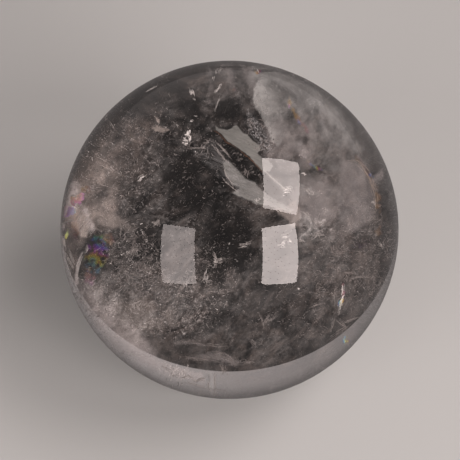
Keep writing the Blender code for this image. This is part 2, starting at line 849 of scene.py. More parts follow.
@dataclass(frozen=True)
class VeilSheet:
    """A thin curved sheet that fills a region of the photograph at some depth in the stone."""

    name: str
    view: PhotoView
    region: Region
    finish: MilkyVeil | RainbowFilm
    # How far along the rays the sheet lies, and how much deeper its right and upper edges are
    share: float
    lean: tuple[float, float]
    ripple: float = 0.03
    torn: float = 0.8
    torn_px: float = 20.0
    seed: float = 1.0
    step_px: float = 2.4
    clear: ClearZones | None = None
    # Which way the film grows thicker across the sheet: 0 to the right, 90 downwards
    wedge_deg: float = 90.0
    fewest_cells: int = 4
    # The ripples' width, as a share of the sheet's, and what sets their pattern apart from the tears'
    ripple_span: float = 0.6
    ripple_seed: float = 7
    # Just inside the region's edge the tears grow to their full size this fast
    tear_growth: float = 3
    # How far inside the stone's outline, as a share of its radius, the sheet is whole
    rim_fade: float = 0.03
    thinnest: float = 0.004

    def build(self) -> bpy.types.Object:
        """Makes the sheet and dresses it.

        Returns:
            The finished piece.
        """
        left, top, right, bottom = self.region.bounds()
        columns = max(self.fewest_cells, round((right - left) / self.step_px))
        rows = max(self.fewest_cells, round((bottom - top) / self.step_px))
        shape = bmesh.new()
        bmesh.ops.create_grid(shape, x_segments=columns, y_segments=rows, size=1.0)
        flat = np.array([vertex.co[:2] for vertex in shape.verts])
        px = (left + right) / 2 + flat[:, 0] * (right - left) / 2
        py = (top + bottom) / 2 - flat[:, 1] * (bottom - top) / 2
        span = max(right - left, bottom - top)
        bend = cloud_noise(px, py, span * self.ripple_span, self.seed + self.ripple_seed, octaves=2)
        share = self.share + self.lean[0] * flat[:, 0] + self.lean[1] * flat[:, 1] + self.ripple * bend
        for vertex, place in zip(shape.verts, self.view.inside(px, py, np.clip(share, *SHEET_SHARES))):
            vertex.co = place
        wedge = math.radians(self.wedge_deg)
        film = 0.5 + 0.5 * (flat[:, 0] * math.cos(wedge) - flat[:, 1] * math.sin(wedge))
        for name, values in (("haze", self.haze(px, py)), ("film", film)):
            layer = shape.verts.layers.float.new(name)
            for vertex, value in zip(shape.verts, values):
                vertex[layer] = value
        haze = shape.verts.layers.float["haze"]
        bare = [face for face in shape.faces if max(vertex[haze] for vertex in face.verts) < self.thinnest]
        bmesh.ops.delete(shape, geom=bare, context="FACES")
        mesh = mesh_from(shape, self.name)
        mesh.shade_smooth()
        mesh.materials.append(self.finish.material())
        return finish_inclusion(link_object(self.name, mesh))

    def haze(self, px: np.ndarray, py: np.ndarray) -> np.ndarray:
        """Tells how thick the sheet is at pixels.

        Args:
            px: Pixels from the left.
            py: Pixels from the top.

        Returns:
            0 outside the region, in the clear zones and at the stone's rim.
        """
        full = self.region.depth(px, py)
        tears = self.torn * cloud_noise(px, py, self.torn_px, self.seed, octaves=4)
        haze = smooth_step(0.0, 1.0, full + tears * np.clip(self.tear_growth * full, 0.0, 1.0))
        haze *= self.region.strength(px, py)
        off_rim = 1 - np.hypot(px - self.view.ball_x, py - self.view.ball_y) / self.view.ball_half_width
        haze *= smooth_step(1 - self.view.rim_limit, self.rim_fade, off_rim)
        if self.clear is not None:
            haze *= self.clear.left_over(px, py)
        return haze


def finish_inclusion(piece: bpy.types.Object) -> bpy.types.Object:
    """Fixes a piece that is inside the stone to it, and lets the lamps shine past it.

    Args:
        piece: The piece.

    Returns:
        The same piece.
    """
    piece.visible_shadow = False
    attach(piece, BODY)
    return piece


@dataclass(frozen=True)
class FreshBreak:
    """A fresh break or a thin bubble in the quartz, which shines pale where it faces a lamp."""

    name: str
    colour: str
    # How bright its dimmest spots are, as a share of the colour
    dimmest: float
    roughness: float
    mottle_mm: float = 0.8
    mottle_detail: float = 2.0

    def material(self) -> bpy.types.Material:
        """Makes the pale finish, which is dimmer at some places than at others.

        Returns:
            The material.
        """
        material, tree = new_material(self.name)
        place = add_node(tree, "ShaderNodeTexCoord")
        mottle = add_node(
            tree, "ShaderNodeTexNoise",
            {
                "Vector": place.outputs["Object"], "Scale": 1 / (self.mottle_mm * MM),
                "Detail": self.mottle_detail,
            },
        )
        bright = linear(self.colour)
        dim = tuple(channel * self.dimmest for channel in bright[:3]) + (1.0,)
        colour = add_node(
            tree, "ShaderNodeMix", {"Factor": mottle.outputs["Fac"], "A": dim, "B": bright},
            data_type="RGBA",
        )
        shader = add_node(
            tree, "ShaderNodeBsdfPrincipled",
            {"Base Color": colour.outputs["Result"], "Roughness": self.roughness},
        )
        surface_output(tree, shader.outputs["BSDF"])
        return material


@dataclass(frozen=True)
class Ribbons:
    """Thin ribbons along lines of the photograph. Each array has a row for each ribbon."""

    # Pixels from the left and from the top, a column for each point of the line
    px: np.ndarray
    py: np.ndarray
    # How far along the rays the points lie, and how wide the ribbon is there
    share: np.ndarray
    width_px: np.ndarray
    # How much deeper a ribbon's one edge is for each pixel of width
    tilt: np.ndarray
    shortest_step: float = 1e-6

    def piece(self, name: str, view: PhotoView, finish: FreshBreak) -> bpy.types.Object:
        """Joins the ribbons in one mesh and dresses it.

        Args:
            name: The piece's name.
            view: The photograph's view.
            finish: What the ribbons are made of.

        Returns:
            The finished piece.
        """
        step_x, step_y = np.gradient(self.px, axis=1), np.gradient(self.py, axis=1)
        reach = np.maximum(np.hypot(step_x, step_y), self.shortest_step)
        half = self.width_px / 2
        aside_x, aside_y = -step_y / reach * half, step_x / reach * half
        deeper = self.tilt[:, None] * half
        depths = [np.clip(self.share + side * deeper, *RIBBON_SHARES) for side in (1, -1)]
        one = view.inside(self.px + aside_x, self.py + aside_y, depths[0])
        other = view.inside(self.px - aside_x, self.py - aside_y, depths[1])
        count, points = self.px.shape
        corners = np.concatenate([one, other], axis=1).reshape(-1, 3)
        first = np.arange(points - 1)
        face = np.stack([first, first + 1, first + 1 + points, first + points], axis=1)
        faces = (np.arange(count)[:, None, None] * 2 * points + face[None]).reshape(-1, 4)
        mesh = bpy.data.meshes.new(name)
        mesh.from_pydata(corners.tolist(), [], faces.tolist())
        mesh.shade_smooth()
        mesh.materials.append(finish.material())
        return finish_inclusion(link_object(name, mesh))


@dataclass(frozen=True)
class Curls:
    """Many short curled threads or tiny flakes, scattered through soft regions of the photograph."""

    name: str
    view: PhotoView
    regions: tuple[Region, ...]
    finish: FreshBreak
    count: int
    length_px: tuple[float, float] = (1.5, 6.0)
    width_px: tuple[float, float] = (0.3, 0.8)
    heading_deg: float = -40.0
    stray_deg: float = 50.0
    curl_deg: float = 110.0
    shares: tuple[float, float] = (0.15, 0.85)
    # How wide the clumps are, and the cloud pattern's values where they start and where they are full
    clump_px: float = 9.0
    clump_low: float = -0.5
    clump_high: float = 0.6
    points: int = 5
    seed: int = 1
    clear: ClearZones | None = None
    # A draw from 0 to 1 raised to these powers: most threads are short, and most are thin
    length_power: float = 2.5
    width_power: float = 2
    # The width left at a thread's tips, and how much its depth changes along and across it
    blunt_tip: float = 0.25
    slope_spread: float = 0.02
    tilt_spread: float = 0.003
    clump_seed: float = 3.7

    def build(self) -> bpy.types.Object:
        """Scatters the threads and joins them in one mesh.

        Returns:
            The finished piece.
        """
        chance = np.random.default_rng(self.seed)
        middle_x, middle_y = self.scatter(chance)
        count = len(middle_x)
        along = np.linspace(-0.5, 0.5, self.points)[None]
        long_tail = chance.uniform(0, 1, count) ** self.length_power
        shortest, longest = self.length_px
        length = shortest + (longest - shortest) * long_tail
        heading = np.radians(self.heading_deg + chance.normal(0, self.stray_deg, count))
        curl = np.radians(chance.normal(0, self.curl_deg, count))
        angle = heading[:, None] + curl[:, None] * along
        step = (length / (self.points - 1))[:, None]
        px = np.cumsum(np.cos(angle) * step, axis=1)
        py = np.cumsum(np.sin(angle) * step, axis=1)
        px += (middle_x - px.mean(axis=1))[:, None]
        py += (middle_y - py.mean(axis=1))[:, None]
        depth = chance.uniform(*self.shares, count)[:, None]
        share = depth + along * chance.normal(0, self.slope_spread, (count, 1))
        thinnest, thickest = self.width_px
        widest = thinnest + (thickest - thinnest) * chance.uniform(0, 1, count) ** self.width_power
        width = widest[:, None] * np.maximum(np.cos(along * math.pi), self.blunt_tip)
        tilt = chance.normal(0, self.tilt_spread, count)
        return Ribbons(px, py, share, width, tilt).piece(self.name, self.view, self.finish)

    def scatter(self, chance: np.random.Generator) -> tuple[np.ndarray, np.ndarray]:
        """Draws pixels in the regions, more of them where these are thick.

        Args:
            chance: The seeded source of random numbers.

        Returns:
            Pixels from the left and from the top.
        """
        boxes = [region.bounds() for region in self.regions]
        left, top = min(box[0] for box in boxes), min(box[1] for box in boxes)
        right, bottom = max(box[2] for box in boxes), max(box[3] for box in boxes)
        kept, found = [], 0
        while found < self.count:
            px = chance.uniform(left, right, 2 * self.count)
            py = chance.uniform(top, bottom, 2 * self.count)
            thick = np.zeros(len(px))
            for region in self.regions:
                thick += region.strength(px, py) * smooth_step(0.0, 1.0, region.depth(px, py))
            reach = np.hypot(px - self.view.ball_x, py - self.view.ball_y)
            thick *= reach < self.view.rim_limit * self.view.ball_half_width
            near = thick > chance.uniform(0, 1, len(px))
            px, py = px[near], py[near]
            clumps = cloud_noise(px, py, self.clump_px, self.seed * self.clump_seed)
            likely = smooth_step(self.clump_low, self.clump_high, clumps)
            if self.clear is not None:
                likely *= self.clear.left_over(px, py)
            keep = chance.uniform(0, 1, len(px)) < likely
            kept.append(np.stack([px[keep], py[keep]]))
            found += int(keep.sum())
        px, py = np.concatenate(kept, axis=1)[:, : self.count]
        return px, py


@dataclass(frozen=True)
class Strokes:
    """Crack edges and bright threads, each a bundle of thin ribbons along a line of the photograph."""

    name: str
    view: PhotoView
    paths: tuple[tuple[Point, ...], ...]
    finish: FreshBreak
    share: float
    width_px: float
    # The ribbons of one bundle, how far they lie apart, and the least share of the line that one follows
    hairs: int
    spread_px: float
    shortest: float = 0.5
    wander_px: float = 0.3
    depth_spread: float = 0.004
    points: int = 12
    seed: int = 1
    # How widths differ from ribbon to ribbon and along each of them, down to the width left at its tips
    hair_widths: tuple[float, float] = (0.5, 1.0)
    unevenness: tuple[float, float] = (0.6, 1.2)
    taper_power: float = 0.5
    blunt_tip: float = 0.15
    tilt_spread: float = 0.002

    def build(self) -> bpy.types.Object:
        """Draws every line and joins the ribbons in one mesh.

        Returns:
            The finished piece.
        """
        chance = np.random.default_rng(self.seed)
        rows_x, rows_y = [], []
        for path in self.paths:
            xs, ys = (np.array(values, float) for values in zip(*path))
            way = np.concatenate([[0.0], np.cumsum(np.hypot(np.diff(xs), np.diff(ys)))])
            for hair in range(self.hairs):
                part = 1.0 if hair == 0 else chance.uniform(self.shortest, 1.0)
                start = chance.uniform(0, 1 - part)
                stops = np.linspace(start, start + part, self.points) * way[-1]
                rows_x.append(np.interp(stops, way, xs) + chance.normal(0, self.spread_px))
                rows_y.append(np.interp(stops, way, ys) + chance.normal(0, self.spread_px))
        px, py = np.array(rows_x), np.array(rows_y)
        px += chance.normal(0, self.wander_px, px.shape)
        py += chance.normal(0, self.wander_px, py.shape)
        count = len(px)
        along = np.linspace(-0.5, 0.5, self.points)[None]
        taper = np.maximum(np.cos(along * math.pi) ** self.taper_power, self.blunt_tip)
        width = self.width_px * chance.uniform(*self.hair_widths, (count, 1)) * taper
        width = width * chance.uniform(*self.unevenness, px.shape)
        share = self.share + chance.normal(0, self.depth_spread, (count, 1)) + 0 * along
        tilt = chance.normal(0, self.tilt_spread, count)
        return Ribbons(px, py, share, width, tilt).piece(self.name, self.view, self.finish)


# Veils are bubbles, far too fine to show one by one: their grain is drawn as coarse as it needs to show

# Brownish milk in slanting clouds, which looks warm and hazy
WARM = MilkyVeil(
    "milky_veil_warm", "#dacac1", cover=0.40, cloud_mm=3.4, grain_mm=0.35, clouds_between=(0.36, 0.74),
    grain_covers=(0.35, 1.8), stretch=1.8, stretch_deg=48, swirl=1.8,
)
# Grey milk in smaller clouds with a clear grain, which looks like salt and pepper
GREY = MilkyVeil(
    "milky_veil_grey", "#dad7d5", cover=0.44, cloud_mm=2.4, grain_mm=0.35, clouds_between=(0.38, 0.72),
    grain_covers=(0.3, 1.9), stretch=1.6, stretch_deg=35, swirl=1.2,
)
# Wide soft clouds, which look like breath on glass
SMOOTH = MilkyVeil(
    "milky_veil_smooth", "#d7d8d6", cover=0.28, cloud_mm=7.0, grain_mm=0.8, clouds_between=(0.16, 0.80),
    grain_covers=(0.8, 1.25),
)
# Small round lumps with gaps between them, which look like froth
KNOBS = MilkyVeil(
    "milky_knobs", "#d2d2d3", cover=0.38, cloud_mm=0.9, grain_mm=0.3, clouds_between=(0.48, 0.62),
    grain_covers=(0.6, 1.5), swirl=3.0,
)
# Brownish milk that lies almost evenly, which looks like a thin skin
EVEN = MilkyVeil(
    "milky_veil_even", "#d8ccc4", cover=0.26, cloud_mm=9.0, grain_mm=0.5, clouds_between=(-0.20, 0.85),
    grain_covers=(0.75, 1.3),
)
# The finest bubbles, nearly without a pattern, which look like plain mist
MISTY = MilkyVeil(
    "milky_veil_misty", "#d2cbca", cover=0.30, cloud_mm=12.0, grain_mm=1.0, clouds_between=(-0.50, 0.75),
    grain_covers=(0.9, 1.1),
)
# Bubbles in thin branching strands, which look like cobweb
STRANDS = MilkyVeil(
    "milky_veil_strands", "#e0dcda", cover=0.24, cloud_mm=0.9, grain_mm=0.3, clouds_between=(0.05, 0.50),
    grain_covers=(0.4, 1.7), swirl=1.5, weave=Weave.STRANDS,
)
# A healed crack seen flat on, which looks like a grey pane with faint stripes
PLATE = MilkyVeil(
    "healed_crack_plate", "#d2d3ce", cover=0.38, cloud_mm=5.0, grain_mm=0.5, clouds_between=(-0.10, 0.62),
    grain_covers=(0.8, 1.25), stretch=4.0, stretch_deg=-43, swirl=0.4, roughness=0.5,
)
# A healed crack with strong stripes along it, which looks combed
STREAKED = MilkyVeil(
    "healed_crack_streaked", "#d4d4d4", cover=0.36, cloud_mm=1.4, grain_mm=0.35, clouds_between=(0.35, 0.72),
    grain_covers=(0.7, 1.3), stretch=6.0, stretch_deg=-48, swirl=0.6, roughness=0.5,
)
# Bubbles in long upright folds, which look like a hanging curtain
CURTAIN = MilkyVeil(
    "milky_curtain", "#d6d3d2", cover=0.40, cloud_mm=1.5, grain_mm=0.5, clouds_between=(0.34, 0.72),
    grain_covers=(0.7, 1.4), stretch=8.0, stretch_deg=83, swirl=0.4,
)

# Air films in fresh cracks: the range of their thickness picks the colours that each of them flashes.
# Three of them also serve as painted dispersion: the spectrum that the stone splits from the lamps' light.

# Every colour of a soap film, in bands
RAINBOW_WIDE = RainbowFilm(
    "rainbow_film_bands", 280.0, 690.0, cover=0.15, strength=0.75, patch_mm=1.3, milky=0.06
)
# Pink, from orange to violet
RAINBOW_PINK = RainbowFilm(
    "rainbow_film_pink", 470.0, 530.0, cover=0.26, strength=0.7, patch_mm=1.0, milky=0.15
)
# Pale pink, blue and turquoise on white
RAINBOW_PASTEL = RainbowFilm(
    "rainbow_film_pastel", 480.0, 620.0, cover=0.70, strength=0.55, patch_mm=0.9, patchy=0.45, milky=0.30
)
# The same pinks on white; on the upper right line of colour they are painted dispersion of the lamps' light
ROSE_FILM_AND_DISPERSION = RainbowFilm(
    "rose_film_and_painted_dispersion", 470.0, 535.0, cover=0.80, strength=0.6, patch_mm=0.9, milky=0.40
)
# Clear blue: painted dispersion, the blue that the stone splits from the lamps' light
PAINTED_DISPERSION_BLUE = RainbowFilm(
    "painted_dispersion_blue", 290.0, 340.0, cover=0.55, strength=0.7, patch_mm=1.0, patchy=0.2, milky=0.05
)
# Yellow green
RAINBOW_LIME = RainbowFilm("rainbow_film_lime", 395.0, 440.0, cover=0.6, patch_mm=1.0, patchy=0.2, milky=0.15)
# All colours, in small spots
RAINBOW_MIXED = RainbowFilm(
    "rainbow_film_mixed", 200.0, 620.0, cover=0.42, strength=0.9, patch_mm=1.0, patchy=0.4
)
# Orange that fades to a dull purple
RAINBOW_ORANGE = RainbowFilm("rainbow_film_orange", 205.0, 262.0, cover=0.22)
# Yellow and orange that fade to purple, as along the edge of a film; on the upper right line of colour and
# the right edge this is painted dispersion of the lamps' light
FILM_AND_DISPERSION_EDGE = RainbowFilm("film_and_painted_dispersion_edge", 195.0, 275.0, cover=0.26, strength=0.9, patchy=0.25)

# Dull grey specks, which look like dust in the stone
DUST = FreshBreak("dull_bubble_dust", "#b0a9a6", dimmest=0.3, roughness=0.6)
# Pale threads, which catch the lamps here and there
THREAD = FreshBreak("pale_bubble_threads", "#d0cac6", dimmest=0.3, roughness=0.5)
# Threads that hardly stand out from the milk round them
FAINT = FreshBreak("faint_bubble_threads", "#96908d", dimmest=0.35, roughness=0.6)
# Fresh breaks that flash almost white
BRIGHT = FreshBreak("bright_break", "#f8f4f1", dimmest=0.75, roughness=0.35)
# The brown line along the edge of a healed crack
AMBER = FreshBreak("amber_film_edge", "#6e4c38", dimmest=0.3, roughness=0.4)
# The cream line along the edge of an air film
CREAM = FreshBreak("cream_film_edge", "#b3a599", dimmest=0.4, roughness=0.4)

# Ovals: the middle, half the width and height, the turn in degrees, how clear, and how soft the edge is
CLEAR = ClearZones(
    (
        Blot(186, 176, 34, 42, 20, 0.85),
        Blot(210, 205, 30, 34, -20, 0.6),
        Blot(232, 240, 38, 42, 0, 0.9),
        Blot(272, 308, 66, 30, -5, 0.45),
        Blot(190, 110, 15, 24, -15, 0.85),
        Blot(231, 113, 20, 19, 0, 0.9),
        Blot(177, 85, 18, 10, -5, 0.8),
        Blot(228, 160, 32, 46, -45, 0.95, 0.5),
        Blot(256, 132, 18, 24, -20, 0.85),
        Blot(143, 241, 30, 22, 0, 0.85),
        Blot(151, 256, 17, 14, 0, 0.7),
        Blot(212, 270, 24, 24, 0, 0.8),
        Blot(212, 322, 26, 14, 0, 0.35),
        Blot(99, 253, 17, 26, 8, 0.7),
        Blot(386, 200, 9, 18, -10, 0.5),
        Blot(291, 121, 11, 21, -15, 0.5),
        Blot(303, 106, 8, 16, -25, 0.35),
        Blot(306, 140, 4, 6, 0, 0.7),
        Blot(140, 108, 34, 20, -35, 0.4),
        Blot(200, 352, 44, 10, 4, 0.4),
        Blot(279, 218, 18, 7, 0, 0.6),
        Blot(340, 317, 4, 5, 0, 0.7),
    )
)

# Each sheet has its own pattern: these start the three rows of seeds
VEIL_SEED = 2.0
CRACK_SEED = 31.0
RAINBOW_SEED = 61.0

# Cracks are nearly flat, and rainbow films flatter still
CRACK_RIPPLE = 0.01
RAINBOW_RIPPLE = 0.005
RAINBOW_LEAN = (0.02, 0.02)


def veils(view: PhotoView) -> list[VeilSheet]:
    """Lists the milky veils.

    Args:
        view: The photograph's view.

    Returns:
        One sheet for each milky area that the photograph shows.
    """
    # Name, oval as in the clear zones but with its thickness, finish, depth, lean
    table = (
        ("base_warm", Blot(229, 229, 185, 185, 0, 0.22, 0.2), WARM, 0.35, (0.0, 0.2)),
        ("base_grey", Blot(229, 229, 185, 185, 0, 0.22, 0.2), GREY, 0.62, (0.1, -0.1)),
        ("base_strands", Blot(229, 229, 185, 185, 0, 0.32, 0.2), STRANDS, 0.48, (0.1, -0.2)),
        ("left_upper", Blot(112, 132, 62, 44, -38, 0.6), WARM, 0.40, (0.10, 0.05)),
        ("left_side", Blot(78, 180, 50, 66, 0, 0.8), WARM, 0.45, (0.22, 0.05)),
        ("left_haze", Blot(88, 182, 42, 68, 8, 0.75, 0.9), EVEN, 0.42, (0.20, 0.05)),
        ("rim_left", Blot(64, 205, 26, 105, 4, 2.1), EVEN, 0.30, (0.14, 0.05)),
        ("rim_low_left", Blot(88, 308, 32, 50, -38, 1.5, 0.9), MISTY, 0.36, (0.14, 0.05)),
        ("left_middle", Blot(128, 160, 36, 50, 10, 0.12), WARM, 0.60, (0.12, -0.08)),
        ("left_tongue", Blot(110, 223, 38, 11, 8, 1.1, 0.9), EVEN, 0.35, (0.14, 0.02)),
        ("left_low", Blot(80, 275, 44, 46, 20, 0.7), GREY, 0.50, (-0.1, 0.1)),
        ("low_left", Blot(108, 315, 64, 44, 25, 0.7), GREY, 0.56, (0.16, 0.05)),
        ("low_left_fill", Blot(128, 318, 66, 34, 22, 0.65, 0.9), EVEN, 0.38, (0.12, 0.05)),
        ("low_band", Blot(150, 302, 72, 34, 8, 0.5), GREY, 0.55, (-0.1, 0.15)),
        ("low_edge", Blot(122, 342, 60, 24, 37, 1.4, 0.95), MISTY, 0.40, (0.14, 0.05)),
        ("bottom", Blot(245, 335, 100, 34, 0, 0.1), GREY, 0.50, (0.15, 0.1)),
        ("low_right", Blot(340, 280, 62, 50, -25, 0.12), GREY, 0.42, (0.0, 0.1)),
        ("right_foot", Blot(348, 328, 56, 26, -42, 0.3), SMOOTH, 0.55, (0.1, 0.0)),
        ("right_side", Blot(346, 196, 36, 56, -5, 0.4), MISTY, 0.50, (-0.1, 0.12)),
        ("right_fluff", Blot(314, 204, 28, 36, 0, 0.7), MISTY, 0.32, (0.05, 0.05)),
        ("right_inner", Blot(310, 200, 44, 56, 0, 0.4), SMOOTH, 0.35, (0.1, 0.05)),
        ("right_mottle", Blot(330, 235, 50, 66, 0, 0.15), GREY, 0.66, (0.1, 0.05)),
        ("upper_right", Blot(326, 116, 84, 52, 42, 0.5), SMOOTH, 0.45, (0.12, -0.10)),
        ("upper_mottle", Blot(334, 132, 80, 46, 42, 0.15), WARM, 0.60, (0.12, -0.10)),
        ("upper_fill", Blot(288, 140, 40, 34, 30, 0.6), MISTY, 0.50, (0.05, -0.05)),
        ("top_right", Blot(300, 84, 58, 34, 24, 1.9), SMOOTH, 0.55, (-0.1, 0.1)),
        ("top", Blot(205, 76, 76, 24, -10, 0.4), WARM, 0.50, (0.1, 0.0)),
        ("strands_low", Blot(160, 302, 110, 48, 6, 1.0), STRANDS, 0.30, (0.1, 0.1)),
        ("strands_left", Blot(112, 190, 70, 96, -10, 0.9), STRANDS, 0.50, (0.1, 0.1)),
        ("strands_right", Blot(345, 268, 66, 66, -10, 0.28), STRANDS, 0.40, (0.1, 0.1)),
        ("strands_middle", Blot(225, 240, 80, 60, 0, 0.45), STRANDS, 0.36, (0.1, 0.1)),
        ("curtain_top", Blot(232, 84, 40, 30, 0, 0.7), CURTAIN, 0.60, (0.05, 0.1)),
        ("upper_streaks", Blot(320, 108, 66, 32, 45, 0.5), STREAKED, 0.38, (0.10, -0.10)),
    )
    return [
        VeilSheet(f"veil_{name}", view, region, finish, share, lean, seed=VEIL_SEED + number, clear=CLEAR)
        for number, (name, region, finish, share, lean) in enumerate(table)
    ]


def fractures(view: PhotoView) -> list[VeilSheet]:
    """Lists the flat healed cracks, with their crisp edges.

    Args:
        view: The photograph's view.

    Returns:
        One sheet for each crack that the photograph shows.
    """
    upper = Outline(
        (
            (215, 124), (219, 128), (228, 129.5), (231, 128), (233, 125.5), (237, 125), (241, 129),
            (244, 133), (248, 134.5), (251, 138.5), (256, 142), (260, 145), (262, 150), (258, 153),
            (262, 157), (268, 159), (274, 166), (270, 172), (263, 172), (257, 166), (250, 158), (247, 155),
            (240, 150), (234, 146), (226, 141), (221, 134), (215, 130),
        ),
        amount=1.9, soft_px=1.2,
    )
    knobs = Outline(
        (
            (246, 108), (252, 110), (258, 117), (265, 130), (273, 144), (272, 155), (262, 152), (256, 142),
            (249, 135), (246, 126),
        ),
        amount=1.5, soft_px=3.0,
    )
    under_light = Outline(
        ((262, 166), (270, 172), (282, 183), (292, 193), (290, 197), (278, 188), (268, 178), (262, 173)),
        amount=0.9, soft_px=2.0,
    )
    lower = Outline(
        (
            (222, 162), (228, 159), (234, 165), (240, 171), (247, 178), (256, 182), (262, 190), (278, 200),
            (296, 210), (290, 213), (264, 206), (256, 205), (247, 200), (238, 197), (231, 193), (238, 188),
            (232, 185), (226, 178), (223, 171),
        ),
        amount=1.3, soft_px=2.0,
    )
    left_part = Outline(
        (
            (190, 147), (205, 146), (211, 138), (216, 141), (224, 150), (231, 160), (234, 168), (240, 180),
            (238, 190), (228, 186), (220, 180), (213, 174), (206, 168), (200, 161), (194, 156),
        ),
        amount=0.8, soft_px=4.0,
    )
    feather = Outline(
        (
            (254, 107), (252, 98), (253, 88), (258, 79), (267, 77), (277, 84), (284, 96), (288, 110),
            (290, 124), (286, 138), (278, 148), (271, 142), (268, 132), (263, 122), (259, 114),
        ),
        amount=2.4, soft_px=2.0, fade_from=(259, 116), fade_to=(290, 108),
    )
    curtain_left = Outline(
        ((204, 66), (212, 64), (215, 84), (213, 100), (209, 113), (203, 110), (206, 88)),
        amount=0.4, soft_px=6.0,
    )
    curtain_middle = Outline(
        ((224, 68), (232, 66), (236, 82), (243, 96), (238, 98), (230, 92), (225, 82)),
        amount=0.36, soft_px=4.0,
    )
    curtain_right = Outline(
        ((240, 64), (256, 64), (259, 84), (257, 108), (252, 110), (248, 98), (243, 84)),
        amount=0.42, soft_px=5.0,
    )
    upper_band = Outline(
        (
            (246, 66), (280, 68), (308, 78), (334, 98), (354, 122), (368, 150), (362, 158), (350, 156),
            (338, 136), (322, 116), (302, 100), (282, 90), (262, 84), (248, 80),
        ),
        amount=1.0, soft_px=9.0,
    )
    right_patch = Outline(
        (
            (340, 160), (352, 158), (362, 164), (369, 174), (374, 186), (377, 200), (376, 214), (370, 224),
            (360, 232), (346, 234), (338, 224), (336, 205), (338, 180),
        ),
        amount=0.7, soft_px=4.0, fade_from=(372, 190), fade_to=(315, 220),
    )
    fold = Outline(
        (
            (82, 202), (87, 205), (92, 212), (97, 220), (99, 229), (95, 235), (89, 233), (86, 226),
            (83, 218), (79, 210),
        ),
        amount=1.8, soft_px=6.0,
    )
    fold_cloth = Outline(
        (
            (80, 203), (88, 214), (92, 226), (88, 238), (80, 240), (75, 232), (70, 224), (62, 222),
            (62, 206), (70, 200),
        ),
        amount=1.6, soft_px=7.0,
    )
    rim_glow = Outline(
        ((74, 172), (82, 184), (84, 196), (80, 208), (72, 218), (64, 226), (58, 220), (58, 204), (64, 184)),
        amount=2.2, soft_px=9.0,
    )
    rim_band = Outline(
        (
            (59.5, 229), (62, 224), (66, 222), (65, 228), (63.5, 236), (64.5, 246), (67, 258), (64, 260),
            (61, 246),
        ),
        amount=1.8, soft_px=1.8,
    )
    rim_fan = Outline(
        (
            (80, 253), (84, 249), (82, 258), (79.5, 266), (78.5, 275), (79, 286), (74, 286), (74, 276),
            (75.5, 265),
        ),
        amount=1.1, soft_px=1.8,
    )
    wisp_high = Outline(
        ((172, 342), (184, 340), (198, 342), (210, 345), (206, 347), (192, 345), (176, 345)),
        amount=0.8, soft_px=2.0,
    )
    wisp_low = Outline(
        (
            (178, 356), (196, 355), (208, 351), (222, 352), (232, 356), (240, 361), (252, 361), (250, 365),
            (234, 367), (220, 362), (200, 360), (182, 359),
        ),
        amount=0.5, soft_px=2.5,
    )
    crescent_left = Outline(
        (
            (118, 343), (132, 349), (146, 354), (160, 358), (178, 365), (196, 370), (208, 373), (206, 386),
            (190, 384), (172, 380), (154, 372), (136, 360), (122, 350),
        ),
        amount=1.1, soft_px=5.0,
    )
    crescent_smear = Outline(
        ((206, 370), (214, 370), (216, 380), (217, 392), (213, 398), (209, 396), (208, 384)),
        amount=0.9, soft_px=3.0,
    )
    leaf_high = Outline(
        ((152, 113), (156, 115), (160, 119), (162, 125), (158, 124), (154, 119)),
        amount=3.0, soft_px=3.0,
    )
    leaf_low = Outline(
        ((150, 125), (158, 124), (166, 127), (171, 130), (164, 134), (156, 133), (151, 129)),
        amount=2.8, soft_px=3.5,
    )
    fluff_high = Outline(
        (
            (298, 182), (305, 184), (312, 186), (318, 191), (324, 195), (316, 197), (308, 196), (304, 200),
            (298, 198),
        ),
        amount=1.1, soft_px=5.0,
    )
    fluff_low = Outline(
        (
            (298, 214), (306, 211), (314, 216), (326, 218), (333, 222), (335, 230), (328, 234), (318, 236),
            (312, 241), (304, 244), (298, 240),
        ),
        amount=1.3, soft_px=6.0,
    )
    right_fan = Outline(
        ((369, 184), (371, 177), (376, 171), (384, 166), (386, 172), (384, 180), (378, 184)),
        amount=1.3, soft_px=4.0,
    )
    bridge = Outline(
        ((274, 204), (286, 203), (298, 198), (302, 212), (300, 226), (292, 228), (284, 221), (277, 214)),
        amount=1.3, soft_px=4.0,
    )
    bright_spot = Outline(
        ((300, 150), (306, 147), (311, 151), (308, 158), (302, 160), (298, 156)),
        amount=1.7, soft_px=3.0,
    )
    foot = Outline(
        (
            (318, 352), (332, 343), (345, 334), (352, 322), (364, 312), (372, 314), (366, 330), (352, 346),
            (336, 358), (318, 366), (306, 364),
        ),
        amount=0.35, soft_px=5.0,
    )
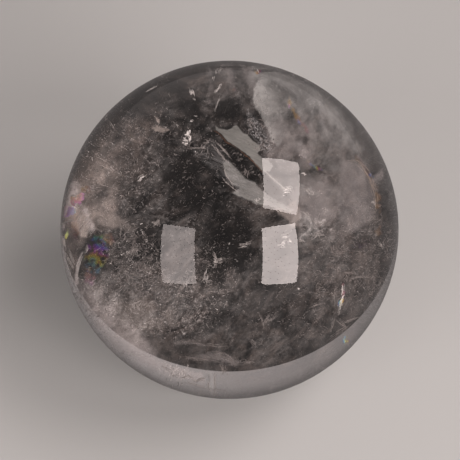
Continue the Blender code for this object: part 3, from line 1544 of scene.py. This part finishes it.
    # Name, outline, finish, depth, lean, how torn, the tears' width and the grid's step in pixels
    table = (
        ("plate_upper", upper, PLATE, 0.30, (0.05, 0.12), 0.5, 4.0, 0.8),
        ("knobs", knobs, KNOBS, 0.28, (0.05, 0.05), 0.6, 5.0, 0.8),
        ("plate_under_light", under_light, PLATE, 0.26, (0.05, 0.12), 0.5, 4.0, 0.8),
        ("plate_lower", lower, PLATE, 0.34, (0.05, 0.12), 0.6, 5.0, 0.8),
        ("plate_streaks", lower, STREAKED, 0.31, (0.05, 0.12), 0.6, 5.0, 0.8),
        ("plate_left", left_part, STREAKED, 0.36, (0.05, 0.10), 0.9, 8.0, 0.9),
        ("feather", feather, SMOOTH, 0.30, (0.05, -0.10), 0.6, 7.0, 1.0),
        ("curtain_left", curtain_left, MISTY, 0.38, (0.05, -0.10), 1.2, 5.0, 0.8),
        ("curtain_middle", curtain_middle, MISTY, 0.36, (0.05, -0.10), 1.2, 5.0, 0.8),
        ("curtain_right", curtain_right, MISTY, 0.34, (0.05, -0.10), 1.2, 5.0, 0.8),
        ("upper_band", upper_band, SMOOTH, 0.40, (0.05, -0.10), 0.5, 14.0, 1.6),
        ("right_patch", right_patch, MISTY, 0.35, (0.10, 0.05), 0.4, 12.0, 1.2),
        ("fold", fold, MISTY, 0.25, (0.06, 0.02), 0.6, 14.0, 0.6),
        ("fold_cloth", fold_cloth, EVEN, 0.24, (0.08, 0.02), 0.7, 12.0, 0.6),
        ("rim_glow", rim_glow, MISTY, 0.28, (0.10, 0.02), 0.6, 6.0, 0.8),
        ("rim_band", rim_band, MISTY, 0.30, (0.08, 0.02), 0.6, 6.0, 0.8),
        ("rim_fan", rim_fan, MISTY, 0.26, (0.08, 0.02), 0.5, 6.0, 0.8),
        ("wisp_high", wisp_high, MISTY, 0.33, (0.05, 0.05), 0.9, 7.0, 0.8),
        ("wisp_low", wisp_low, MISTY, 0.33, (0.05, 0.05), 1.4, 5.0, 0.8),
        ("crescent_left", crescent_left, MISTY, 0.25, (0.05, 0.05), 0.9, 6.0, 1.0),
        ("crescent_smear", crescent_smear, SMOOTH, 0.20, (0.05, 0.05), 0.9, 5.0, 0.8),
        ("leaf_high", leaf_high, EVEN, 0.20, (0.05, 0.03), 0.8, 4.0, 0.6),
        ("leaf_low", leaf_low, EVEN, 0.20, (0.05, 0.03), 0.8, 4.0, 0.6),
        ("fluff_high", fluff_high, SMOOTH, 0.28, (0.03, 0.03), 1.4, 4.0, 0.6),
        ("fluff_low", fluff_low, GREY, 0.26, (0.03, 0.03), 0.9, 7.0, 0.8),
        ("right_fan", right_fan, MISTY, 0.28, (0.03, 0.03), 0.8, 6.0, 0.8),
        ("bridge", bridge, EVEN, 0.30, (0.05, 0.03), 1.0, 8.0, 0.8),
        ("bright_spot", bright_spot, MISTY, 0.22, (0.03, 0.03), 0.9, 4.0, 0.6),
        ("foot", foot, SMOOTH, 0.50, (0.03, 0.03), 0.5, 12.0, 1.2),
    )
    return [
        VeilSheet(
            f"crack_{name}", view, region, finish, share, lean,
            ripple=CRACK_RIPPLE, torn=torn, torn_px=torn_px, seed=CRACK_SEED + number, step_px=step,
        )
        for number, (name, region, finish, share, lean, torn, torn_px, step) in enumerate(table)
    ]


def rainbows(view: PhotoView) -> list[VeilSheet]:
    """Lists the cracks that flash in rainbow colours, and the sheets that carry painted dispersion.

    Args:
        view: The photograph's view.

    Returns:
        One sheet for each coloured patch that the photograph shows.
    """
    rim_mixed = Outline(
        ((61, 204), (68, 205), (77, 208), (76, 214), (70, 217), (64, 218), (60, 222)),
        amount=1.6, soft_px=2.5,
    )
    rim_dark = Outline(
        ((72, 212), (79, 212), (80, 228), (79, 242), (73, 240), (70, 226)),
        amount=0.7, soft_px=4.0,
    )
    rim_lime = Outline(
        ((68.5, 226), (70, 231), (68, 237), (65.5, 241), (64.5, 235), (66, 229)),
        amount=1.2, soft_px=1.5,
    )
    # Painted dispersion: the spectrum that the stone splits from the lamps' light, laid on this sheet as film
    # colour
    painted_dispersion_streak = Outline(
        (
            (287, 94), (290, 96), (293, 104), (297, 112), (302, 119), (308, 127), (310, 135), (306, 134),
            (300, 126), (294, 118), (290, 110), (287, 102),
        ),
        amount=0.9, soft_px=2.5,
    )
    # Painted dispersion along the right edge: the spectrum that the stone splits from the lamps' light, laid
    # on as film colour
    right_edge = Outline(
        ((354, 152), (360, 156), (366, 166), (372, 176), (372, 184), (367, 178), (361, 168), (355, 160)),
        amount=0.35, soft_px=2.0,
    )
    inner_line = Outline(
        ((306, 159), (312, 163), (320, 168), (325, 171), (318, 170.5), (310, 166)),
        amount=0.5, soft_px=1.2,
    )
    # Name, oval or outline, finish, depth, and which way the film grows thicker
    table = (
        ("blob", Blot(96, 255, 14, 23, 12, 1.5, 0.9), RAINBOW_WIDE, 0.30, -68.0),
        ("blob_side", Blot(109, 240, 8, 9, 0, 0.9, 0.9), RAINBOW_ORANGE, 0.31, 0.0),
        ("rim_pink", Blot(76, 201, 8, 6, 30, 1.6, 0.9), ROSE_FILM_AND_DISPERSION, 0.20, 60.0),
        ("rim_pink_high", Blot(81, 197, 6, 4.5, -20, 1.5, 0.9), ROSE_FILM_AND_DISPERSION, 0.20, 0.0),
        ("rim_mixed", rim_mixed, RAINBOW_PASTEL, 0.24, 20.0),
        ("rim_dark", rim_dark, RAINBOW_ORANGE, 0.24, 90.0),
        ("rim_lime", rim_lime, RAINBOW_LIME, 0.22, 90.0),
        ("low_pink", Blot(89, 277, 8, 11, 0, 0.8, 0.9), RAINBOW_PINK, 0.30, 90.0),
        ("left_orange", Blot(86, 190, 6, 5, 0, 1.5, 0.9), RAINBOW_ORANGE, 0.30, 0.0),
        # Painted dispersion of the lamps' light, laid on as film colour
        ("painted_dispersion_streak", painted_dispersion_streak, FILM_AND_DISPERSION_EDGE, 0.30, -20.0),
        ("top_tip", Blot(258, 71, 4, 4, 0, 2.4, 0.9), FILM_AND_DISPERSION_EDGE, 0.16, 0.0),
        # Painted dispersion at the right edge, in yellow, orange and blue
        ("right_edge", right_edge, FILM_AND_DISPERSION_EDGE, 0.30, -45.0),
        ("painted_dispersion_right_blue", Blot(371, 176, 2.5, 4, -30, 1.0, 0.8), PAINTED_DISPERSION_BLUE, 0.28, 0.0),
        ("right_orange", Blot(378, 200, 4, 15, -6, 0.8, 0.9), RAINBOW_ORANGE, 0.30, 0.0),
        ("right_low", Blot(379, 232, 5, 8, 0, 0.6, 0.9), RAINBOW_ORANGE, 0.30, 0.0),
        ("low_crack", Blot(343, 290, 2.2, 8, 0, 1.3, 0.8), RAINBOW_PINK, 0.30, 0.0),
        ("low_crack_blue", Blot(341, 302, 3, 6, 15, 1.2, 0.8), RAINBOW_MIXED, 0.30, 0.0),
        ("low_tip", Blot(346, 341, 4, 6, -15, 1.0, 0.9), RAINBOW_MIXED, 0.30, 0.0),
        ("inner_line", inner_line, RAINBOW_MIXED, 0.28, 0.0),
        ("top_orange", Blot(233, 90, 4, 2.5, 10, 1.2, 0.9), RAINBOW_ORANGE, 0.30, 0.0),
        # Painted dispersion in pink and blue along the upper right line of colour
        ("painted_dispersion_streak_pink", Blot(288, 104, 2.0, 5, -20, 1.2, 0.9), ROSE_FILM_AND_DISPERSION, 0.27, 90.0),
        ("painted_dispersion_streak_blue", Blot(299, 122, 1.5, 5, -30, 0.9, 0.9), PAINTED_DISPERSION_BLUE, 0.27, 0.0),
    )
    return [
        VeilSheet(
            f"rainbow_{name}", view, region, finish, share, RAINBOW_LEAN, ripple=RAINBOW_RIPPLE,
            torn=1.3, torn_px=5.0, seed=RAINBOW_SEED + number, step_px=0.8, wedge_deg=wedge,
        )
        for number, (name, region, finish, share, wedge) in enumerate(table)
    ]


def curls(view: PhotoView) -> list[Curls]:
    """Lists the clouds of curled threads, flakes and dust.

    Args:
        view: The photograph's view.

    Returns:
        One cloud for each speckled area that the photograph shows.
    """
    left = (Blot(112, 160, 60, 75, -15), Blot(150, 125, 40, 25, 0, 0.8))
    low = (Blot(150, 300, 95, 44, 8), Blot(215, 270, 30, 34, 0, 0.8))
    right = (Blot(355, 255, 50, 60, 0, 0.9), Blot(300, 300, 70, 45, -20, 0.5))
    middle = (Blot(190, 160, 70, 60), Blot(230, 230, 70, 50, 0, 0.7))
    curly = (Blot(132, 252, 38, 34), Blot(210, 268, 14, 24, 0, 0.12), Blot(196, 145, 26, 18, 0, 0.3))
    cluster = (Blot(215, 263, 2.5, 10, 8), Blot(207, 276, 3.5, 9, 25), Blot(244, 246, 9, 2.5, -12, 0.8))
    # Tight clumps of threads that bend only a little, as in moss
    mossy = {"curl_deg": 60, "stray_deg": 50, "clump_px": 6.0, "clump_low": -0.2, "clump_high": 0.5}
    fluff = (Blot(314, 192, 18, 10, 0, 0.8), Blot(316, 227, 22, 16))
    whole = (Blot(229, 229, 168, 168, 0, 1.0, 0.2),)
    swirl = (Blot(258, 135, 18, 26, -20), Blot(240, 165, 10, 34, -47, 0.4))
    crescent = (Blot(176, 371, 26, 7, 18),)
    # Name, view, regions, finish, how many, and where they are given the lengths and widths in pixels
    return [
        Curls("threads_left", view, left, FAINT, 1100, seed=11, clear=CLEAR),
        Curls("threads_low", view, low, FAINT, 2400, seed=12, clear=CLEAR),
        Curls("threads_right", view, right, FAINT, 1500, heading_deg=-15, seed=13, clear=CLEAR),
        Curls("bright_threads_low", view, low, THREAD, 500, seed=22, clear=CLEAR),
        Curls("bright_threads_left", view, left, THREAD, 90, seed=23, clear=CLEAR),
        Curls("bright_threads_curly", view, curly, THREAD, 240, (2.0, 11.0), (0.2, 0.6), seed=24, **mossy),
        Curls("threads_curly", view, curly, FAINT, 500, (2.0, 11.0), (0.2, 0.7), seed=26, **mossy),
        Curls("sparks_curly", view, curly, BRIGHT, 150, (0.8, 3.5), (0.3, 0.8), seed=27, **mossy),
        Curls("sparks_cluster", view, cluster, BRIGHT, 70, (1.0, 5.0), (0.3, 0.9), seed=28, **mossy),
        Curls("bright_threads_fluff", view, fluff, THREAD, 60, (2.0, 9.0), (0.2, 0.6), seed=25, curl_deg=40),
        Curls("threads_middle", view, middle, FAINT, 900, (1.0, 4.0), (0.3, 0.7), seed=17),
        Curls("threads_swirl", view, swirl, FAINT, 200, (2.0, 9.0), (0.5, 1.2), curl_deg=260, seed=18),
        Curls("threads_crescent", view, crescent, BRIGHT, 160, (1.0, 4.0), (0.3, 0.8), seed=19),
        Curls("dust_whole", view, whole, DUST, 5000, (0.4, 1.0), (0.3, 0.8), points=2, seed=14),
        Curls("dust_low", view, low, DUST, 4000, (0.4, 1.2), (0.3, 0.9), points=2, seed=20),
        Curls("sparks_whole", view, whole, BRIGHT, 320, (0.5, 1.4), (0.4, 0.9), points=2, seed=15),
        Curls("sparks_low", view, low, BRIGHT, 220, (0.8, 2.6), (0.4, 1.0), points=4, seed=16),
    ]


def strokes(view: PhotoView) -> list[Strokes]:
    """Lists the crack edges and bright threads.

    Args:
        view: The photograph's view.

    Returns:
        One bundle for each kind of line that the photograph shows.
    """
    plate_hairs = (
        ((216, 142), (221, 147), (226, 153), (232, 160)), ((218, 143), (224, 150), (229, 156)),
        ((211, 143), (217, 150), (223, 157), (229, 164)), ((214, 146), (220, 153)),
        ((225, 181), (232, 187), (239, 193)), ((222, 178), (229, 184)), ((223, 166), (226, 176), (233, 184)),
        ((190, 148.5), (205, 148)), ((189, 148.8), (197, 148.2), (206, 148.5)),
        ((262, 168), (270, 176), (280, 185), (289, 193)), ((280, 188), (286, 189), (292, 189)),
    )
    fold_fan = (
        ((85, 205), (80, 213), (74, 221)), ((87, 208), (81, 217), (75, 225)),
        ((90, 213), (84, 221), (78, 229)), ((92, 217), (87, 225), (80, 232)),
        ((95, 222), (90, 229), (83, 236)), ((95, 226), (91, 232), (86, 238)),
        ((66, 186), (64, 196), (62, 208)), ((70, 182), (68, 194), (66, 204)),
    )
    plate_rim = (
        ((214, 130), (219, 133), (223, 137), (226, 141), (233, 145), (238, 149)),
        ((238, 149), (244, 154), (249, 158), (254, 163), (260, 169), (263, 173)),
    )
    top_needles = (
        ((222, 67), (220, 70), (218, 74)), ((218, 69), (217, 73)), ((214, 76), (213, 82)),
        ((221, 83), (219, 88), (214, 93)), ((220, 96), (218, 101), (216, 106), (215, 111)),
    )
    glints = (
        ((189.5, 88.5), (190.5, 91), (191, 94)), ((191.5, 90), (192.5, 93), (193.5, 96)),
        ((190, 130), (188.5, 133), (187, 136)), ((188, 131), (187, 134), (186, 137)),
        ((189.5, 134), (190, 138), (189, 141)), ((184, 138), (186.5, 140), (188, 142)),
        ((183, 143), (185, 144.5), (187, 143)), ((136.5, 181), (140, 178), (144, 174.5)),
        ((138, 181), (142, 178)), ((303, 174), (304.5, 173.5)),
    )
    small_glints = (
        ((194, 98), (195, 100)), ((194, 116), (197, 116.5)), ((190, 121), (193, 121)),
        ((176, 124), (177.5, 126)), ((229, 243), (230, 244.5)), ((124, 320.5), (125.5, 321.5)),
        ((164, 322), (167, 322.5)), ((298, 288.5), (300, 288.5)),
    )
    rim_glints = (
        ((157, 85.5), (151, 88.5), (145.5, 91.5)), ((105, 119), (108, 113), (112, 107)),
        ((257, 69), (259, 73)),
    )
    rim_arcs = (
        ((60, 231), (61.5, 226), (65, 222.5), (70, 220.5), (76, 221)),
        ((71, 197), (74, 195), (77, 197), (80, 196.5), (84, 194.5)), ((76, 207), (80, 205.5), (83, 204)),
        ((72, 197), (73, 203), (76, 207)),
    )
    rim_white = (
        ((61.5, 233), (62, 240), (62.5, 247), (64, 255)), ((63, 235), (63.5, 243), (64.5, 251)),
        ((62, 236), (64, 246)),
    )
    fan_arcs = (
        ((83, 253), (80, 259), (77.5, 266), (76.5, 274), (76, 283)),
        ((84, 252), (81, 258), (78.5, 265), (77, 273)), ((63.5, 256), (67, 266), (71, 277), (74.5, 285)),
        ((65, 250), (69, 260), (74, 270)), ((67, 246), (71, 256), (75, 266)),
        ((97, 288), (96.5, 296), (97, 305)), ((88, 244), (87, 250), (85, 254)),
    )
    right_edge = (
        ((345, 161), (355, 161), (363, 167), (370, 177), (374, 188), (376, 200), (376, 214)),
        ((368, 174), (372, 182), (375, 192)),
    )
    low_crack = (
        ((343.5, 283), (344, 288), (343, 293), (342, 299), (340.5, 304), (339, 310), (338, 316)),
        ((343, 284), (342.5, 290), (342, 295)), ((342, 298), (341, 302), (339.5, 306)),
    )
    crack_foot = (
        ((338, 316), (342, 322), (348, 331)), ((335, 319), (341, 324), (347, 327)),
        ((352, 322), (345, 328), (336, 334), (326, 341)), ((334, 318), (332, 326), (330, 333)),
        ((335, 290), (334, 298), (335, 306)), ((340, 320), (346, 322), (353, 319)),
    )
    low_lines = (
        ((343, 272), (350, 272.5), (356, 274)), ((350, 278), (358, 276.5), (366, 277), (373, 278)),
        ((345, 321), (352, 319), (359, 317)), ((308, 309), (316, 305), (324, 303)),
    )
    bright_scratch = (
        ((213, 253), (216, 259), (216, 266)), ((216, 262), (220, 260), (225, 259)),
        ((206, 268), (204, 274), (203, 281)), ((205, 279), (208, 284), (211, 283)),
        ((238, 246), (245, 245), (252, 242)), ((183, 289), (185, 284), (187, 278)),
        ((180, 297), (183, 294.5)), ((116, 308), (119, 314), (123, 319)),
        ((148, 304), (152, 301), (155, 299)), ((149, 302), (154, 303)), ((153, 227), (156, 223), (160, 219)),
        ((152, 221), (156, 225)), ((157, 219), (158, 226)), ((304, 188), (309, 191), (316, 194)),
        ((299, 212), (305, 213), (310, 216)), ((312, 238), (318, 234), (326, 232)), ((300, 238), (304, 242)),
        ((324, 210), (327, 210)), ((372, 204), (374, 202)), ((379, 242), (381, 247)),
    )
    faint_stars = (
        ((249, 340), (254, 345), (257, 349)), ((251, 339), (257, 343)), ((258, 345), (263, 342)),
        ((262, 328), (266, 320), (270, 312)), ((263, 322), (268, 318)), ((264, 330), (262, 320), (258, 312)),
        ((266, 322), (274, 318), (280, 312)),
    )
    light_flakes = (
        ((279, 240), (284, 237), (290, 236)), ((281, 244), (286, 240)), ((280, 246), (285, 244)),
        ((288, 238), (291, 243)), ((284, 189), (290, 188), (294, 191)), ((283, 193), (288, 191)),
        ((256, 199), (259, 201)),
    )
    wisps = (
        ((174, 342), (184, 341), (196, 343), (204, 344)), ((182, 356), (196, 357), (210, 359), (224, 362)),
        ((186, 359.5), (200, 360), (214, 362)), ((208, 352), (218, 353), (226, 355), (233, 360)),
        ((216, 353), (224, 357), (232, 361), (236, 366)), ((206, 345), (220, 347), (232, 345)),
        ((236, 362), (246, 361), (256, 363)), ((221, 366), (223, 370), (222, 374)), ((224, 366), (225, 373)),
    )
    crescent_marks = (
        ((190, 379), (197, 381), (205, 380)), ((193, 383), (199, 380), (206, 378)),
        ((180, 378), (187, 376), (196, 378)), ((208, 372), (209, 379), (208, 386), (211, 392), (214, 395)),
        ((215, 372), (214, 380), (215, 388), (212, 396)), ((213, 397), (216, 394), (215, 391)),
        ((184, 381), (200, 386), (216, 389), (230, 391)), ((160, 365), (166, 369), (172, 371)),
    )
    # Name, view, lines, finish, depth, width in pixels, ribbons in a bundle, how far apart these lie,
    # the least share of the line that one of them follows, and how far it wanders
    return [
        Strokes("lines_plate_hairs", view, plate_hairs, THREAD, 0.29, 0.5, 3, 0.5, seed=41),
        Strokes("lines_plate_rim", view, plate_rim, AMBER, 0.29, 0.4, 5, 0.6, 0.1, seed=42),
        Strokes("lines_top_needles", view, top_needles, BRIGHT, 0.24, 0.45, 5, 0.8, 0.3, seed=43),
        Strokes("lines_glints", view, glints, BRIGHT, 0.20, 1.2, 5, 0.7, 0.4, 0.5, points=5, seed=44),
        Strokes("lines_small_glints", view, small_glints, BRIGHT, 0.20, 0.5, 3, 0.4, 0.4, 0.2, seed=55),
        Strokes("lines_rim_glints", view, rim_glints, BRIGHT, 0.12, 0.6, 4, 0.3, 0.5, 0.1, seed=59),
        Strokes("lines_rim_arcs", view, rim_arcs, BRIGHT, 0.18, 0.6, 5, 0.7, 0.3, 0.3, seed=45),
        Strokes("lines_fold_fan", view, fold_fan, BRIGHT, 0.19, 0.4, 3, 0.8, 0.4, seed=53),
        Strokes("lines_rim_white", view, rim_white, BRIGHT, 0.18, 0.8, 7, 0.7, 0.3, 0.2, seed=46),
        Strokes("lines_fan_arcs", view, fan_arcs, BRIGHT, 0.20, 0.45, 8, 0.9, 0.3, 0.15, seed=47),
        Strokes("lines_right_edge", view, right_edge, CREAM, 0.28, 0.3, 12, 1.6, 0.15, 0.5, seed=54),
        Strokes("lines_low_crack", view, low_crack, BRIGHT, 0.24, 0.35, 5, 0.5, 0.1, seed=48),
        Strokes("lines_crack_foot", view, crack_foot, FAINT, 0.26, 0.45, 5, 0.8, 0.3, seed=56),
        Strokes("lines_low_lines", view, low_lines, FAINT, 0.40, 0.7, 4, 0.5, seed=49),
        Strokes("lines_scratch", view, bright_scratch, THREAD, 0.22, 0.45, 7, 1.1, 0.2, 0.4, seed=50),
        Strokes("lines_faint_stars", view, faint_stars, FAINT, 0.24, 0.4, 6, 0.9, 0.2, 0.3, seed=57),
        Strokes("lines_light_flakes", view, light_flakes, BRIGHT, 0.16, 0.35, 5, 1.3, 0.2, 0.5, seed=58),
        Strokes("lines_wisps", view, wisps, FAINT, 0.28, 0.35, 9, 1.4, 0.2, 0.4, seed=51),
        Strokes("lines_crescent", view, crescent_marks, THREAD, 0.20, 0.7, 4, 0.7, 0.3, 0.4, seed=52),
    ]


def main() -> None:
    """Builds the studio, the stone and all that shows inside it."""
    logging.basicConfig(level=logging.INFO, format="%(message)s")
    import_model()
    stone = StoneForm.from_frame()
    view = PhotoView(stone)
    view.add_camera()
    Studio(stone).add()
    pieces = [ClearBody(stone).build()]
    parts = (*veils(view), *fractures(view), *rainbows(view), *curls(view), *strokes(view))
    for part in parts:
        pieces.append(part.build())
    for piece in pieces:
        LOG.info("%s: %d faces", piece.name, len(piece.data.polygons))


if __name__ == "__main__":
    main()
